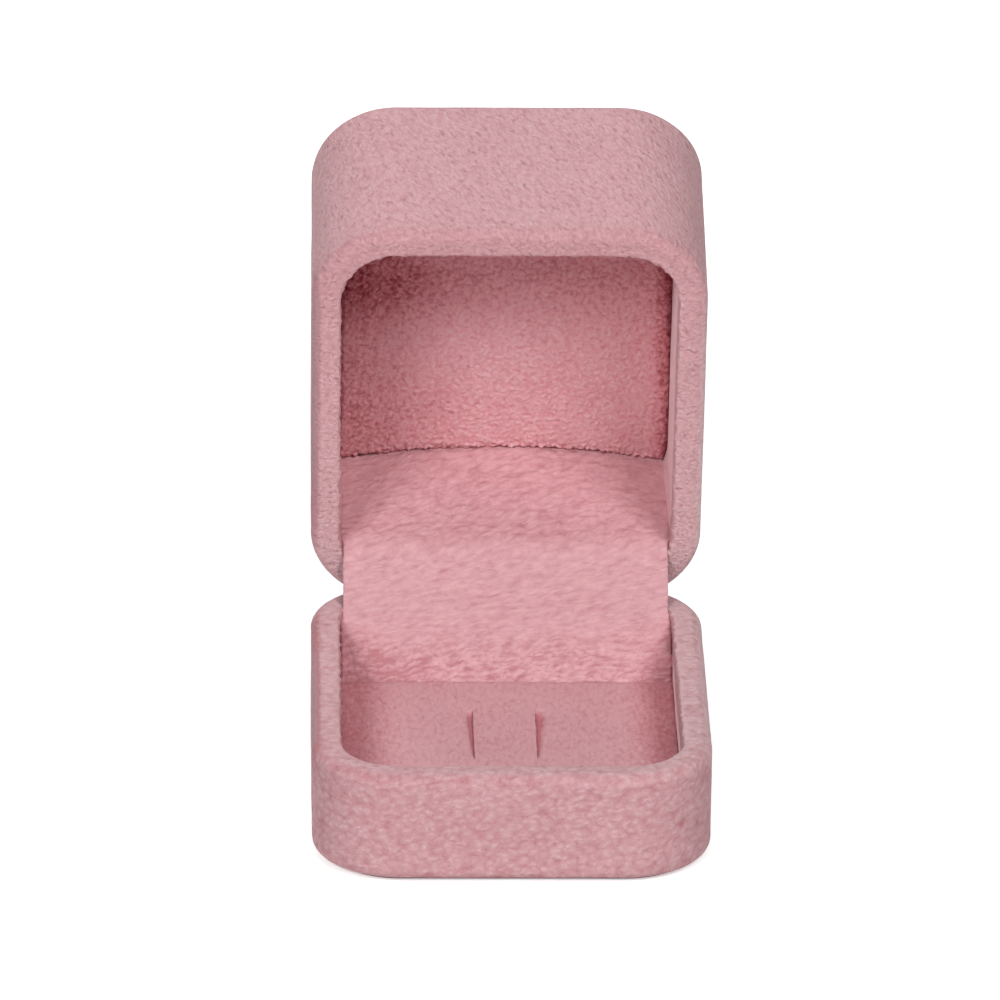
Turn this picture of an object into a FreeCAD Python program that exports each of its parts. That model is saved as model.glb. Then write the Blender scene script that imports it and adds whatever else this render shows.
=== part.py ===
# A ring box: a shallow base and a deep hinged lid, each a moulded shell in pink suede.
# A flap of backed suede hides the snap hinge, and an insert with two slits holds a ring.
# Units are millimetres. X runs across the box, Y from the front to the hinge, Z up.
# The origin is at the centre of the underside, and the lid stands open on its stop.
import FreeCAD, Part
import math
import os

from FreeCAD import Vector

# Outside of the box, over the suede
box_width = 55.0
box_depth = 65.0
corner_radius = 12.0
base_height = 16.2
lid_height = 31.0
lid_opening = 76.0

# Walls and their covering
suede = 0.7
shell_wall = 2.6
base_floor = 2.0
lid_top = 1.8
hem_depth = 5.0
hem_width = 6.0
foot_sheet = 0.5
foot_inset = 2.0
rim_round = 1.0
foot_round = 1.5
top_round = 1.5

# The joint between the lid and the base
rim_gap = 0.2
stop_gap = 0.2
hinge_inset = 2.6

# Snap hinge
hinge_width = 30.0
leaf_height = 6.5
leaf_thickness = 0.5
pin_radius = 0.55
pin_running_fit = 0.05
pin_head_radius = 0.95
pin_head_length = 0.4
cam_width = 19.4
cam_flat_depth = 0.2
knuckle_gap = 0.15
leaf_relief = 0.3
pocket_margin = 1.0
spring_width = 12.0
spring_thickness = 0.25
spring_gap = 0.05
spring_tip = 0.4
spring_bend_depth = 1.8
spring_foot_depth = 3.2
spring_foot_length = 2.8
rivet_shank_radius = 0.75
rivet_head_radius = 1.3
rivet_head_height = 0.4
rivet_tail_radius = 1.2
rivet_tail_height = 0.35
rivet_depth = 4.6
rivet_inner_spacing = 8.0
rivet_outer_spacing = 24.0

# Flap of backed suede over the hinge
flap_side_gap = 0.75
flap_backing = 0.3
flap_suede = 0.5
flap_clearance = 0.2
flap_bend_radius = 5.0

# Insert with its ring tab
insert_depth = 8.0
insert_gap = 0.3
insert_suede = 0.7
insert_board = 1.0
insert_edge_round = 0.5
insert_to_flap = 0.1
tab_width = 8.5
tab_offset = -0.5
slit_width = 0.8
slit_length = 16.7
slit_forward = 1.2
foam_slit_depth = 3.0

# Padded ceiling of the lid
ceiling_plush = 2.0
ceiling_foam = 4.5
ceiling_board = 0.8
ceiling_gap = 0.2
ceiling_edge_round = 1.2

# Places that follow from the sizes above
wall_total = 2 * suede + shell_wall
shell_face = suede + shell_wall
hinge_y = box_depth / 2 - hinge_inset
hinge_depth = -rim_gap / 2
half_opening = math.radians(lid_opening / 2)
bore_radius = pin_radius + pin_running_fit
barrel_radius = bore_radius + leaf_thickness
leaf_front = hinge_y + bore_radius
leaf_back = hinge_y + barrel_radius
cam_flat = barrel_radius - cam_flat_depth
well_rear = box_depth / 2 - wall_total
shell_rear = box_depth / 2 - suede
reach = box_width + box_depth + base_height + lid_height
flap_thickness = flap_backing + flap_suede
flap_width = box_width - 2 * (wall_total + flap_side_gap)
hinge_axis_z = base_height + rim_gap / 2


def slab(inset, near, far):
    """Rounded block of the box's plan, drawn in by inset, between two depths below the rim."""
    half_w = box_width / 2 - inset
    half_d = box_depth / 2 - inset
    return rounded_plate(-half_w, half_w, -half_d, half_d, [corner_radius - inset] * 4, near, far)


def rounded_plate(x0, x1, y0, y1, radii, near, far):
    """Plate with a radius at each corner, in the order front left, front right, rear right, rear left."""
    corners = [(x0, y0, 1, 1), (x1, y0, -1, 1), (x1, y1, -1, -1), (x0, y1, 1, -1)]
    edges = []
    ends = []
    for index, (x, y, sx, sy) in enumerate(corners):
        r = radii[index]
        bulge = r * (1 - math.sqrt(0.5))
        along_x = Vector(x + sx * r, y, near)
        along_y = Vector(x, y + sy * r, near)
        first, last = (along_y, along_x) if index % 2 == 0 else (along_x, along_y)
        edges.append(Part.Arc(first, Vector(x + sx * bulge, y + sy * bulge, near), last).toShape())
        ends.append((first, last))
    for index in range(4):
        edges.append(Part.makeLine(ends[index][1], ends[(index + 1) % 4][0]))
    wire = Part.Wire(Part.__sortEdges__(edges))
    return Part.Face(wire).extrude(Vector(0, 0, far - near))


def edges_at(shape, depth):
    """Edges that lie in one level plane."""
    found = []
    for edge in shape.Edges:
        box = edge.BoundBox
        if abs(box.ZMin - depth) < 1e-6 and abs(box.ZMax - depth) < 1e-6:
            found.append(edge)
    return found


def profile_block(points, x0, x1):
    """Straight-sided solid with a (y, z) outline, from x0 to x1."""
    corners = [Vector(x0, y, z) for y, z in points]
    face = Part.Face(Part.makePolygon(corners + corners[:1]))
    return face.extrude(Vector(x1 - x0, 0, 0))


def cylinder_x(radius, x0, x1, y, z):
    return Part.makeCylinder(radius, x1 - x0, Vector(x0, y, z), Vector(1, 0, 0))


def rear_bevel(cover):
    """What is cut from the rim behind the hinge axis, under a covering of the given thickness.

    The bevels of the lid and the base slope by half the opening, so they meet and stop the lid.
    """
    start = hinge_depth + (stop_gap / 2 + cover) / math.cos(half_opening)
    drop = reach * math.tan(half_opening)
    far = hinge_y + reach
    outline = [(hinge_y, start), (far, start + drop), (far, -reach), (hinge_y, -reach)]
    return profile_block(outline, -reach, reach)


def hinge_pocket():
    """Room for a hinge leaf in the inner face of a rear wall."""
    half = hinge_width / 2 + pocket_margin
    far = leaf_height + pocket_margin
    outline = [(well_rear - suede, -reach), (leaf_back, -reach), (leaf_back, far), (well_rear - suede, far)]
    return profile_block(outline, -half, half)


def rivet_places():
    return [side * spacing / 2 for spacing in (rivet_inner_spacing, rivet_outer_spacing) for side in (-1, 1)]


def cylinder_y(radius, x, depth, y0, y1):
    return Part.makeCylinder(radius, y1 - y0, Vector(x, y0, depth), Vector(0, 1, 0))


def tray(height, end_cover, end_plate, end_round):
    """Shell, wrap and wall lining of one half of the box, with the rim at zero depth."""
    end = height - end_cover
    outer = slab(suede, suede, end)
    outer = outer.makeFillet(max(end_round - suede, suede / 4), edges_at(outer, end))
    hollow = slab(shell_face, -suede, end - end_plate)
    shell = outer.cut([hollow, rear_bevel(suede), hinge_pocket()])
    for x in rivet_places():
        shell = shell.cut(cylinder_y(rivet_shank_radius, x, rivet_depth, leaf_front, shell_rear))
        tail = shell_rear - rivet_tail_height
        shell = shell.cut(cylinder_y(rivet_tail_radius, x, rivet_depth, tail, shell_rear))

    skin = slab(0, 0, end + suede)
    skin = skin.makeFillet(end_round, edges_at(skin, end + suede))
    skin = skin.cut(slab(wall_total, -suede, hem_depth))
    skin = skin.makeFillet(rim_round, edges_at(skin, 0))
    backed = outer.cut([slab(shell_face, -suede, hem_depth), rear_bevel(suede)])
    wrap = skin.cut([backed, rear_bevel(0), hinge_pocket()])

    lining = slab(shell_face, hem_depth, end - end_plate)
    lining = lining.cut([slab(wall_total, 0, height), hinge_pocket()])
    return shell, wrap, lining


def hinge_leaf(knuckles, bore, relieved):
    """Steel leaf rolled into knuckles, with the plate cut back where the other leaf's knuckles turn."""
    half = hinge_width / 2
    outline = [
        (leaf_front, hinge_depth), (leaf_back, hinge_depth),
        (leaf_back, leaf_height), (leaf_front, leaf_height)]
    leaf = profile_block(outline, -half, half)
    for x0, x1 in knuckles:
        leaf = leaf.fuse(cylinder_x(barrel_radius, x0, x1, hinge_y, hinge_depth))
    for x0, x1 in knuckles:
        leaf = leaf.cut(cylinder_x(bore, x0, x1, hinge_y, hinge_depth))
    clear = barrel_radius + leaf_relief
    for x0, x1 in relieved:
        leaf = leaf.cut(profile_block(
            [(hinge_y - clear, -clear), (leaf_back + clear, -clear), (leaf_back + clear, clear),
             (hinge_y - clear, clear)], x0, x1))
    for x in rivet_places():
        leaf = leaf.cut(cylinder_y(rivet_shank_radius, x, rivet_depth, leaf_front, leaf_back))
    return leaf.removeSplitter()


def cam_flat_cut(angle):
    """Material that a flat takes off the cam knuckle, facing the given angle up from the front."""
    along = Vector(0, -math.cos(angle), math.sin(angle))
    across = Vector(0, math.sin(angle), math.cos(angle))
    centre = Vector(0, hinge_y, hinge_depth)
    near = centre + along * cam_flat
    corners = [near - across * barrel_radius, near + across * barrel_radius]
    corners += [point + along * barrel_radius for point in reversed(corners)]
    side = Vector(cam_width / 2, 0, 0)
    face = Part.Face(Part.makePolygon([point - side for point in corners + corners[:1]]))
    return face.extrude(side * 2)


def rivets(head_seats):
    """Rivets through a leaf and the shell wall, with their tails sunk under the wrap."""
    made = []
    for x, seat in zip(rivet_places(), head_seats):
        rivet = cylinder_y(rivet_head_radius, x, rivet_depth, seat - rivet_head_height, seat)
        rivet = rivet.fuse(cylinder_y(rivet_shank_radius, x, rivet_depth, seat, shell_rear))
        tail = shell_rear - rivet_tail_height
        rivet = rivet.fuse(cylinder_y(rivet_tail_radius, x, rivet_depth, tail, shell_rear))
        made.append(rivet.removeSplitter())
    return Part.makeCompound(made)


def offset_path(points, distance):
    """Corners of a path moved sideways, to the left of its direction in (y, z)."""
    normals = []
    for (y0, z0), (y1, z1) in zip(points, points[1:]):
        length = math.hypot(y1 - y0, z1 - z0)
        normals.append((-(z1 - z0) / length, (y1 - y0) / length))
    moved = [(points[0][0] + distance * normals[0][0], points[0][1] + distance * normals[0][1])]
    for (n0, n1), (y, z) in zip(zip(normals, normals[1:]), points[1:-1]):
        share = distance / (1 + n0[0] * n1[0] + n0[1] * n1[1])
        moved.append((y + share * (n0[0] + n1[0]), z + share * (n0[1] + n1[1])))
    moved.append((points[-1][0] + distance * normals[-1][0], points[-1][1] + distance * normals[-1][1]))
    return moved


def bent_edges(points, radius, x):
    """Two lines joined by a tangent arc, along a (y, z) path of three points."""
    start, middle, end = [Vector(x, y, z) for y, z in points]
    back = (start - middle).normalize()
    ahead = (end - middle).normalize()
    half_turn = (math.pi - back.getAngle(ahead)) / 2
    tangent = radius * math.tan(half_turn)
    crest = middle + (back + ahead).normalize() * (radius / math.cos(half_turn) - radius)
    first = middle + back * tangent
    last = middle + ahead * tangent
    return [Part.makeLine(start, first), Part.Arc(first, crest, last).toShape(), Part.makeLine(last, end)]


def bent_strip(points, radius, near, far):
    """Strip of the flap's width between two heights over a path that bends once, outwards."""
    x = -flap_width / 2
    under = bent_edges(offset_path(points, -near), radius + near, x)
    over = bent_edges(offset_path(points, -far), radius + far, x)
    ends = [Part.makeLine(under[0].Vertexes[0].Point, over[0].Vertexes[0].Point),
            Part.makeLine(under[-1].Vertexes[-1].Point, over[-1].Vertexes[-1].Point)]
    wire = Part.Wire(Part.__sortEdges__(under + over + ends))
    return Part.Face(wire).extrude(Vector(flap_width, 0, 0))


def in_base(shape):
    """Turns a piece from depths below a rim to its place in the base."""
    placed = shape.copy()
    placed.rotate(Vector(0, 0, 0), Vector(0, 1, 0), 180)
    placed.translate(Vector(0, 0, base_height))
    return placed


def in_lid(shape):
    """Sets a piece on the closed lid and opens the lid about the hinge axis."""
    placed = shape.copy()
    placed.translate(Vector(0, 0, base_height + rim_gap))
    placed.rotate(Vector(0, hinge_y, hinge_axis_z), Vector(1, 0, 0), -lid_opening)
    return placed


def lid_point(y, depth):
    """World (y, z) of a point of the open lid, given by its place below the rim."""
    point = Part.Vertex(0, y, depth)
    placed = in_lid(point)
    return placed.Point.y, placed.Point.z


pieces = {}

# Base: shell, wrap with its hem turned under, lining of the walls, and the sheet that it stands on
base_end_cover = foot_sheet + suede
shell, wrap, lining = tray(base_height, base_end_cover, base_floor - suede, foot_round)
shell_end = base_height - base_end_cover
boss = slab(hem_width, shell_end, shell_end + suede)
pieces["base_shell"] = in_base(shell.fuse(boss).removeSplitter())
pieces["base_wrap"] = in_base(wrap.cut(boss))
pieces["base_wall_lining"] = in_base(lining)
pieces["base_foot_sheet"] = in_base(slab(foot_inset, base_height - foot_sheet, base_height))

# Lid: the same shell and wrap, deeper, with a ceiling of card, foam and plush
shell, wrap, lining = tray(lid_height, suede, lid_top, top_round)
pieces["lid_shell"] = in_lid(shell)
pieces["lid_wrap"] = in_lid(wrap)
pieces["lid_wall_lining"] = in_lid(lining)
lid_ceiling = lid_height - suede - lid_top
foam_back = lid_ceiling - ceiling_board
foam_face = foam_back - ceiling_foam
ceiling_face = foam_face - ceiling_plush
ceiling_inset = wall_total + ceiling_gap
pieces["ceiling_board"] = in_lid(slab(ceiling_inset, foam_back, lid_ceiling))
foam_inset = ceiling_inset + ceiling_plush
pieces["ceiling_foam"] = in_lid(slab(foam_inset, foam_face, foam_back))
plush = slab(ceiling_inset, ceiling_face, foam_back)
plush = plush.makeFillet(ceiling_edge_round, edges_at(plush, ceiling_face))
pieces["ceiling_plush"] = in_lid(plush.cut(slab(foam_inset, foam_face, foam_back)))

# Hinge: two leaves on one pin, the lid's with a two-sided cam that a flat spring on the base holds
cam_end = cam_width / 2
base_end = hinge_width / 2
base_start = cam_end + knuckle_gap
base_knuckles = [(-base_end, -base_start), (base_start, base_end)]
leaf = hinge_leaf(base_knuckles, pin_radius, [(-base_start, base_start)])
pieces["hinge_leaf_base"] = in_base(leaf)
side_reliefs = [(-base_end, -cam_end), (cam_end, base_end)]
leaf = hinge_leaf([(-cam_end, cam_end)], bore_radius, side_reliefs)
leaf = leaf.cut([cam_flat_cut(0), cam_flat_cut(-math.radians(lid_opening))])
pieces["hinge_leaf_lid"] = in_lid(leaf)
pin = cylinder_x(pin_radius, -base_end, base_end, hinge_y, hinge_depth)
for x0 in (-base_end - pin_head_length, base_end):
    pin = pin.fuse(cylinder_x(pin_head_radius, x0, x0 + pin_head_length, hinge_y, hinge_depth))
pieces["hinge_pin"] = in_base(pin.removeSplitter())

spring_back = hinge_y - cam_flat - spring_gap
spring_path = [
    (spring_back, -spring_tip), (spring_back, spring_bend_depth),
    (leaf_front, spring_foot_depth), (leaf_front, spring_foot_depth + spring_foot_length)]
spring_outline = spring_path + offset_path(spring_path, spring_thickness)[::-1]
spring = profile_block(spring_outline, -spring_width / 2, spring_width / 2)
inner_rivets = [x for x in rivet_places() if abs(x) < spring_width / 2]
spring_seat = leaf_front - spring_thickness
for x in inner_rivets:
    spring = spring.cut(cylinder_y(rivet_shank_radius, x, rivet_depth, spring_seat, leaf_front))
pieces["snap_spring"] = in_base(spring)
base_seats = [spring_seat if x in inner_rivets else leaf_front for x in rivet_places()]
pieces["base_leaf_rivets"] = in_base(rivets(base_seats))
pieces["lid_leaf_rivets"] = in_lid(rivets([leaf_front] * len(base_seats)))

# Flap: from the lid's ceiling over the rounded rear corners of both rims and down behind the insert
well_radius = corner_radius - wall_total
corner_reach = flap_width / 2 - (box_width / 2 - wall_total - well_radius)
corner_rise = well_radius - math.sqrt(well_radius ** 2 - corner_reach ** 2)
rim_to_hinge = hinge_y - well_rear + corner_rise
ramp_rest = (rim_to_hinge - rim_round) * math.cos(half_opening) + rim_round
ramp_rest -= (rim_round + rim_gap / 2) * math.sin(half_opening)
ramp_height = ramp_rest + flap_clearance
bend_trim = flap_bend_radius * (1 / math.cos(half_opening / 2) - 1)
wall_height = rim_to_hinge + flap_clearance + bend_trim
bend_along = (wall_height - ramp_height * math.cos(half_opening)) / math.sin(half_opening)
insert_top = base_height - insert_depth
floor_top = foot_sheet + base_floor


def ramp_point(height, along):
    """World (y, z) of a point at a height over the hinge axis, and a distance up the flap's ramp."""
    y = hinge_y - height * math.cos(half_opening) + along * math.sin(half_opening)
    z = hinge_axis_z + height * math.sin(half_opening) + along * math.cos(half_opening)
    return y, z


ramp_foot = ramp_point(ramp_height, 0)
foot_z = floor_top + flap_thickness + flap_clearance
flap_path = [
    lid_point(hinge_y - wall_height, ceiling_face - flap_clearance), ramp_point(ramp_height, bend_along),
    ramp_point(ramp_height, (foot_z - ramp_foot[1]) / math.cos(half_opening))]
pieces["hinge_flap_backing"] = bent_strip(flap_path, flap_bend_radius, 0, flap_backing)
pieces["hinge_flap_suede"] = bent_strip(flap_path, flap_bend_radius, flap_backing, flap_thickness)

# Insert: foam, a slit card and its suede cover, cut to lie against the flap
board_top = insert_top - insert_suede
board_under = board_top - insert_board


def behind_flap(inset):
    """Everything behind the flap's ramp, with a margin in front of it."""
    height = ramp_height + flap_thickness + inset
    outline = [ramp_point(height, -reach), ramp_point(height, reach), (reach, reach), (reach, -reach)]
    return profile_block(outline, -reach, reach)


def insert_plate(inset, low, high):
    """Level plate of the insert's plan between two heights, drawn in by inset from walls and flap."""
    plate = in_base(slab(wall_total + insert_gap + inset, base_height - high, base_height - low))
    return plate.cut(behind_flap(insert_to_flap + inset))


def slits(low, high):
    middle = -slit_forward
    cuts = []
    for side in (-1, 1):
        x = tab_offset + side * (tab_width + slit_width) / 2
        cuts.append(rounded_plate(x - slit_width / 2, x + slit_width / 2, middle - slit_length / 2,
                                  middle + slit_length / 2, [slit_width / 4] * 4, low, high))
    return cuts


board = insert_plate(insert_suede, board_under, board_top)
cover = insert_plate(0, board_under, insert_top)
cover = cover.makeFillet(insert_edge_round, edges_at(cover, insert_top))
pieces["insert_cover"] = cover.cut([board] + slits(board_under, insert_top))
pieces["insert_board"] = board.cut(slits(board_under, board_top))
foam = insert_plate(0, floor_top, board_under)
pieces["insert_foam"] = foam.cut(slits(board_under - foam_slit_depth, board_under))

os.makedirs("parts", exist_ok=True)
for name, shape in pieces.items():
    shape.exportStep("parts/" + name + ".step")
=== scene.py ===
import math

import bpy
from mathutils import Matrix, Vector, noise


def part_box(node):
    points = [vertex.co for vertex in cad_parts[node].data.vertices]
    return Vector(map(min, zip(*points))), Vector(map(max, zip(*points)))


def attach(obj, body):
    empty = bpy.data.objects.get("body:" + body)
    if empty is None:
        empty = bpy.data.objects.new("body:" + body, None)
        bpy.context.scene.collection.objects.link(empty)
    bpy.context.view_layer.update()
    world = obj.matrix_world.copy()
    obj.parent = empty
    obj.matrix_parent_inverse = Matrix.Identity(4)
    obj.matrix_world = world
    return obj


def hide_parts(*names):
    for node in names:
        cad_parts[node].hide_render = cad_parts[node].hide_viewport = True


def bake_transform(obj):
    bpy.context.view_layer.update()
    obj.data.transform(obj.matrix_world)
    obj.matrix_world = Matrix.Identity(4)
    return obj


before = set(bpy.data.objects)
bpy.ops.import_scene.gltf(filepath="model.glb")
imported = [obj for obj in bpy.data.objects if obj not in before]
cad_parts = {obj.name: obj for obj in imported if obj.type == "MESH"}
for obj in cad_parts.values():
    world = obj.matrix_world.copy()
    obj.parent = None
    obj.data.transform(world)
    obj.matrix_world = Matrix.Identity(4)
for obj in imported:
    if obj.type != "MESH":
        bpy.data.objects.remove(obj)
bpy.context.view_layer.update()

# Moulded shells
# Two injection-moulded trays carry everything else: a shallow base and a deep lid.
# They are matt grey plastic, and the suede hides them on every side.
mm = 0.001
shell_grey = (0.42, 0.41, 0.41, 1)
shell_shade = (0.34, 0.33, 0.33, 1)


class Wire:
    """A value on its way through a finish's nodes. Arithmetic on it adds Math nodes."""

    def __init__(self, finish, socket):
        self.finish = finish
        self.socket = socket

    def reckon(self, operation, first, second):
        return self.finish.node("Math", {"operation": operation}, {0: first, 1: second})

    def __add__(self, other):
        return self.reckon("ADD", self, other)

    def __radd__(self, other):
        return self.reckon("ADD", other, self)

    def __sub__(self, other):
        return self.reckon("SUBTRACT", self, other)

    def __rsub__(self, other):
        return self.reckon("SUBTRACT", other, self)

    def __mul__(self, other):
        return self.reckon("MULTIPLY", self, other)

    def __rmul__(self, other):
        return self.reckon("MULTIPLY", other, self)


class Finish:
    """A material made of nodes, with one Principled shader that takes what the nodes work out."""

    def __init__(self, name):
        self.material = bpy.data.materials.new(name)
        self.material.use_nodes = True
        self.nodes = self.material.node_tree.nodes
        self.links = self.material.node_tree.links
        self.shader = self.nodes["Principled BSDF"]

    def node(self, kind, settings, sockets, output=0):
        """Adds a shader node, makes its settings, then fills its sockets with values or wires."""
        made = self.nodes.new("ShaderNode" + kind)
        for key, value in settings.items():
            if key == "stops":
                ramp = made.color_ramp.elements
                while len(ramp) > 1:
                    ramp.remove(ramp[0])
                ramp[0].position, ramp[0].color = value[0]
                for place, colour in value[1:]:
                    ramp.new(place).color = colour
            else:
                setattr(made, key, value)
        for key, value in sockets.items():
            self.fill(made.inputs[key], value)
        return Wire(self, made.outputs[output])

    def fill(self, socket, value):
        if isinstance(value, Wire):
            self.links.new(value.socket, socket)
        else:
            socket.default_value = value

    def shade(self, **sockets):
        """Sets the shader's own sockets, with underscores for the spaces in their names."""
        for key, value in sockets.items():
            self.fill(self.shader.inputs[key.replace("_", " ")], value)

    def paint(self, *pieces):
        for piece in pieces:
            piece.data.materials.clear()
            piece.data.materials.append(self.material)


def moulded_plastic():
    finish = Finish("moulded_shell_plastic")
    place = finish.node("TexCoord", {}, {}, "Object")
    flow = finish.node("TexNoise", {}, {"Vector": place, "Scale": 90.0, "Detail": 3.0})
    spark = finish.node("TexNoise", {}, {"Vector": place, "Scale": 4200.0, "Detail": 1.0})
    tone = finish.node("ValToRGB", {"stops": [(0.35, shell_shade), (0.7, shell_grey)]}, {0: flow})
    finish.shade(Base_Color=tone, Roughness=0.5 + 0.15 * spark)
    finish.shade(Normal=finish.node("Bump", {}, {"Strength": 0.15, "Distance": 0.05 * mm, "Height": spark}))
    return finish


moulded_plastic().paint(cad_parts["base_shell"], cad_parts["lid_shell"])

# Base cover
# One piece of pink microfibre suede is stretched over the base's walls, turned in over the rim to a
# glued hem, and turned under the bottom edge. Behind the hinge its rim slopes down to the lid's stop.
half_width = 27.5 * mm
half_depth = 32.5 * mm
corner_radius = 12.0 * mm
base_height = 16.2 * mm
wall = 4.0 * mm
suede_thickness = 0.55 * mm
rim_round = 1.7 * mm
hem_round = 0.45 * mm
foot_round = 1.5 * mm
hem_depth = 5.0 * mm
hem_width = 6.0 * mm
foot_sheet = 0.5 * mm
hinge_y = 29.9 * mm
hinge_z = 16.3 * mm
half_opening = math.radians(38)
slope_fade = 9.0 * mm
pocket_half = 16.0 * mm
pocket_front = 27.0 * mm
pocket_back = 31.0 * mm
pocket_depth = 7.5 * mm
suede_step = 0.56 * mm
base_deep = (0.42, 0.165, 0.18, 1)
base_rose = (0.531, 0.294, 0.313, 1)
base_pale = (0.66, 0.44, 0.46, 1)
# The fourth base tone is the rose in less light: a painted shadow tone, reached where painted shade is
# strong.
base_shadow_tone = (0.42, 0.23, 0.25, 1)
# Ramp places of the deep, rose and pale nap tones, and at 0 the painted shadow tone.
tone_places = (0.15, 0.5, 0.85, 0.0)
suede_sheen = (1.0, 0.86, 0.88, 1)


def plan_sides(step):
    """The four sides of the box's plan, each from one corner's middle to the next.

    Every point comes with its outward direction, so that a wall can be drawn in from it.
    """
    eighth = max(4, round(corner_radius * math.pi / 4 / step))
    sides = []
    for turn in range(4):
        along, across = (half_width, half_depth) if turn % 2 == 0 else (half_depth, half_width)
        straight = 2 * (along - corner_radius)
        runs = max(4, round(straight / step))
        spin = Matrix.Rotation(turn * math.pi / 2, 2)
        points = []
        for index in range(2 * eighth + runs + 1):
            if index <= eighth:
                angle = -math.pi / 4 * (1 - index / eighth)
                centre = -straight / 2
            elif index < eighth + runs:
                angle = 0
                centre = -straight / 2 + straight * (index - eighth) / runs
            else:
                angle = math.pi / 4 * (index - eighth - runs) / eighth
                centre = straight / 2
            outward = Vector((math.sin(angle), -math.cos(angle)))
            point = Vector((centre, -(across - corner_radius))) + corner_radius * outward
            points.append((spin @ point, spin @ outward))
        sides.append(points)
    return sides


def eased(low, high, value):
    """0 below the low value and 1 above the high one, with a smooth change between them."""
    share = min(max((value - low) / (high - low), 0), 1)
    return share * share * (3 - 2 * share)


def rear_drop(y):
    """How far the rim slopes down behind the hinge axis, with the crease rounded off."""
    crease = 0.25 * mm
    past = (y - hinge_y) / crease
    behind = crease * (math.log1p(math.exp(past)) if past < 30 else past)
    return behind * math.tan(half_opening)


def slope_rear(point):
    """Lets the rim and the wall below it down behind the hinge axis."""
    drop = rear_drop(point.y) * (1 - eased(0, slope_fade, point.z))
    return Vector((point.x, point.y, point.z + drop))


def swept_skin(profile, step, capped=False):
    """Cloth that follows the plan of the box at each (inset, depth) of a profile.

    Depths run from the rim. A capped skin also covers the end that its last row surrounds.
    """
    sides = plan_sides(step)
    loop = [point for side in sides for point in side[:-1]]
    count = len(loop)
    points = []
    for inset, depth in profile:
        points += [Vector((p.x - inset * n.x, p.y - inset * n.y, depth)) for p, n in loop]
    faces = []
    for row in range(len(profile) - 1):
        for i in range(count):
            near = row * count
            far = near + count
            j = (i + 1) % count
            faces.append((near + i, near + j, far + j, far + i))
    if capped:
        wide = len(sides[0]) - 1
        deep = len(sides[1]) - 1
        first = count * (len(profile) - 1)
        grid = {}
        for i in range(wide + 1):
            grid[i, 0] = first + i
            grid[i, deep] = first + 2 * wide + deep - i
        for j in range(deep + 1):
            grid[wide, j] = first + wide + j
            grid[0, j] = first + (count - j) % count
        for i in range(1, wide):
            for j in range(1, deep):
                u = i / wide
                v = j / deep
                middle = points[grid[i, 0]] * (1 - v) + points[grid[i, deep]] * v
                middle += points[grid[0, j]] * (1 - u) + points[grid[wide, j]] * u
                middle -= points[grid[0, 0]] * (1 - u) * (1 - v) + points[grid[wide, 0]] * u * (1 - v)
                middle -= points[grid[0, deep]] * (1 - u) * v + points[grid[wide, deep]] * u * v
                grid[i, j] = len(points)
                points.append(middle)
        for i in range(wide):
            for j in range(deep):
                faces.append((grid[i, j], grid[i + 1, j], grid[i + 1, j + 1], grid[i, j + 1]))
    return points, faces


def laid_piece(name, points, faces, set_up, lay=None, shade=None):
    """A smooth mesh that keeps where each point lay on the cloth, and the painted light and shade there."""
    mesh = bpy.data.meshes.new(name)
    mesh.from_pydata([set_up(point) for point in points], [], faces)
    used = mesh.attributes.new("lay", "FLOAT_VECTOR", "POINT")
    for index, point in enumerate(lay or points):
        used.data[index].vector = point
    if shade:
        tone = mesh.attributes.new("shade", "FLOAT", "POINT")
        for index, point in enumerate(lay or points):
            tone.data[index].value = shade(point)
    mesh.polygons.foreach_set("use_smooth", [True] * len(mesh.polygons))
    mesh.update()
    piece = bpy.data.objects.new(name, mesh)
    bpy.context.scene.collection.objects.link(piece)
    return piece


def push_out(piece, height):
    """Moves each point along its normal by a height that depends on where it lay."""
    mesh = piece.data
    normals = [vector.vector.copy() for vector in mesh.vertex_normals]
    lay = mesh.attributes["lay"].data
    for vertex, normal, place in zip(mesh.vertices, normals, lay):
        vertex.co += normal * height(place.vector)
    mesh.update()


def thicken(piece, thickness):
    modifier = piece.modifiers.new("thickness", "SOLIDIFY")
    modifier.thickness = thickness
    modifier.offset = -1
    modifier.use_even_offset = False


def arc(inset, depth, radius, start, end, steps):
    """Points of a rounded edge in a profile, from one angle to another, about a centre."""
    made = []
    for index in range(steps + 1):
        angle = math.radians(start + (end - start) * index / steps)
        made.append((inset - radius * math.cos(angle), depth - radius * math.sin(angle)))
    return made


def run(first, last, step):
    """Points along a straight stretch of a profile, without its two ends."""
    wide = last[0] - first[0]
    deep = last[1] - first[1]
    steps = max(1, round(math.hypot(wide, deep) / step))
    return [(first[0] + wide * index / steps, first[1] + deep * index / steps) for index in range(1, steps)]


def joined_profile(stretches, step):
    """Stretches of a profile with straight runs between them."""
    made = list(stretches[0])
    for stretch in stretches[1:]:
        made += run(made[-1], stretch[0], step) + stretch
    return made


def rim_profile():
    """Hem, crisp inner edge, rim and rounded outer edge, with a slight bead where it turns outwards."""
    bead = 0.04 * mm
    hem = [(wall, hem_depth)]
    inner = arc(wall - hem_round, hem_round, hem_round, 180, 90, 4)
    outer = arc(rim_round, rim_round, rim_round + bead, 90, 0, 8)
    outer[-1] = (0.0, rim_round)
    dip = [(rim_round + 0.6 * mm, 0.03 * mm)]
    return [hem, inner, dip, outer]


def middle_of(points, face):
    return sum((points[index] for index in face), Vector()) / len(face)


def clear_of_hinge(points, faces):
    """Faces without those that the pocket for the hinge takes out of the rear wall."""
    kept = []
    for face in faces:
        middle = middle_of(points, face)
        in_rear_wall = pocket_front < middle.y < pocket_back
        if not (in_rear_wall and abs(middle.x) < pocket_half and middle.z < pocket_depth):
            kept.append(face)
    return kept


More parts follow.
